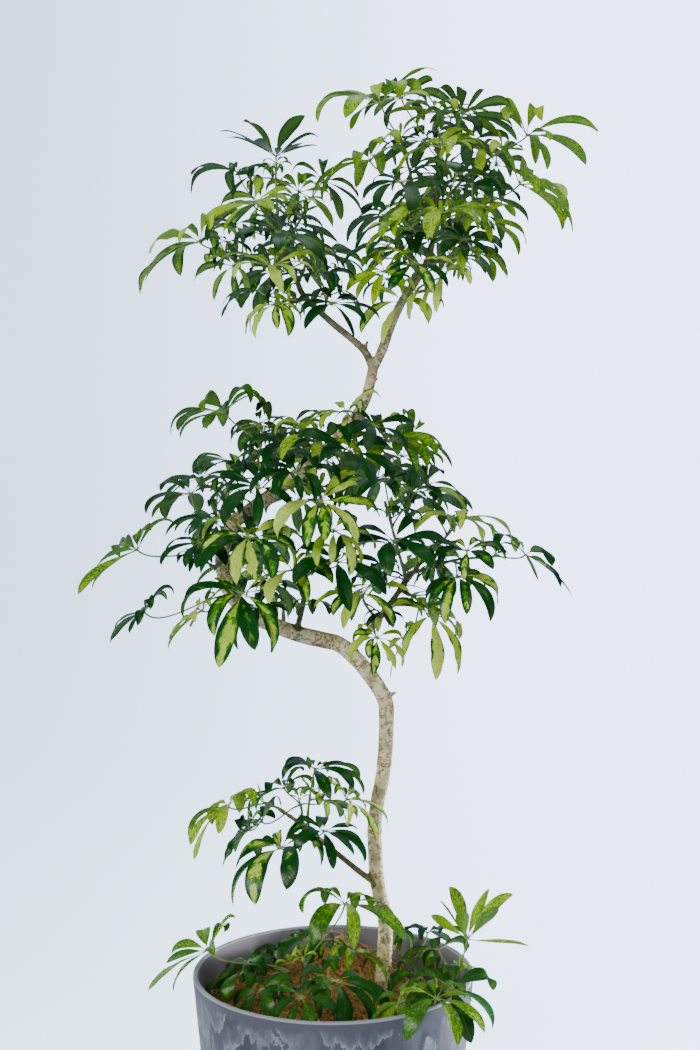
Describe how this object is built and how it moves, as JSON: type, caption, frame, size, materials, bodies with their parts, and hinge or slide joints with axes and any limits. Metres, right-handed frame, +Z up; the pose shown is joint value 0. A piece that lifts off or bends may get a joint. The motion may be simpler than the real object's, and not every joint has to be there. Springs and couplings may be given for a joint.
{
  "type": "potted ashfolia schefflera",
  "caption": "Potted ornamental schefflera: a bare bent trunk with crowns of variegated umbrella leaves and low sprouts, in a round tapered marbled pot that stands on its flat underside.",
  "frame": {"origin": "centre of the pot's flat underside, at the level of the surface that it stands on", "axes": "+Z up along the pot's axis, +X to the right and +Y to the back of the view in the picture"},
  "size_m": [0.6796, 0.418, 1.5234],
  "materials": {
    "marbled_grey": "satin",
    "earth": "matte",
    "coir": "matte",
    "bark": "matte",
    "variegated_leaf": "satin"
  },
  "bodies": {
    "root": {"pot": "marbled_grey", "potting_soil": "earth", "coir_mulch": "coir", "trunk": "bark", "left_crown_leader": "variegated_leaf", "left_crown_outer": "variegated_leaf", "left_crown_front": "variegated_leaf", "left_crown_inner": "variegated_leaf", "left_crown_under": "variegated_leaf", "left_crown_elbow": "variegated_leaf", "left_crown_back": "variegated_leaf", "left_crown_back_low": "variegated_leaf", "right_crown_leader": "variegated_leaf", "right_crown_top": "variegated_leaf", "right_crown_left": "variegated_leaf", "right_crown_far": "variegated_leaf", "right_crown_high": "variegated_leaf", "right_crown_front": "variegated_leaf", "right_crown_low_left": "variegated_leaf", "right_crown_fork": "variegated_leaf", "right_crown_low": "variegated_leaf", "right_crown_back_high": "variegated_leaf", "right_crown_back": "variegated_leaf", "right_crown_back_low": "variegated_leaf", "right_crown_back_under": "variegated_leaf", "middle_left_high": "variegated_leaf", "middle_left_arm": "variegated_leaf", "middle_left_under": "variegated_leaf", "middle_left_front": "variegated_leaf", "middle_centre_left": "variegated_leaf", "middle_centre_top": "variegated_leaf", "middle_trunk_top": "variegated_leaf", "middle_rising_tip": "variegated_leaf", "middle_rising_side": "variegated_leaf", "middle_thin": "variegated_leaf", "middle_trunk_right": "variegated_leaf", "middle_right_centre": "variegated_leaf", "middle_right_upper": "variegated_leaf", "middle_right_far": "variegated_leaf", "middle_right_low": "variegated_leaf", "middle_right_inner": "variegated_leaf", "middle_back_left": "variegated_leaf", "middle_back_centre": "variegated_leaf", "middle_back_right": "variegated_leaf", "middle_back_low_left": "variegated_leaf", "middle_back_low_right": "variegated_leaf", "lower_rising": "variegated_leaf", "lower_outer": "variegated_leaf", "lower_front": "variegated_leaf", "lower_back": "variegated_leaf", "sprout_left": "variegated_leaf", "sprout_centre": "variegated_leaf", "sprout_back": "variegated_leaf", "sprout_right": "variegated_leaf", "sprout_right_front": "variegated_leaf", "sprout_right_back": "variegated_leaf"}
  },
  "joints": []
}
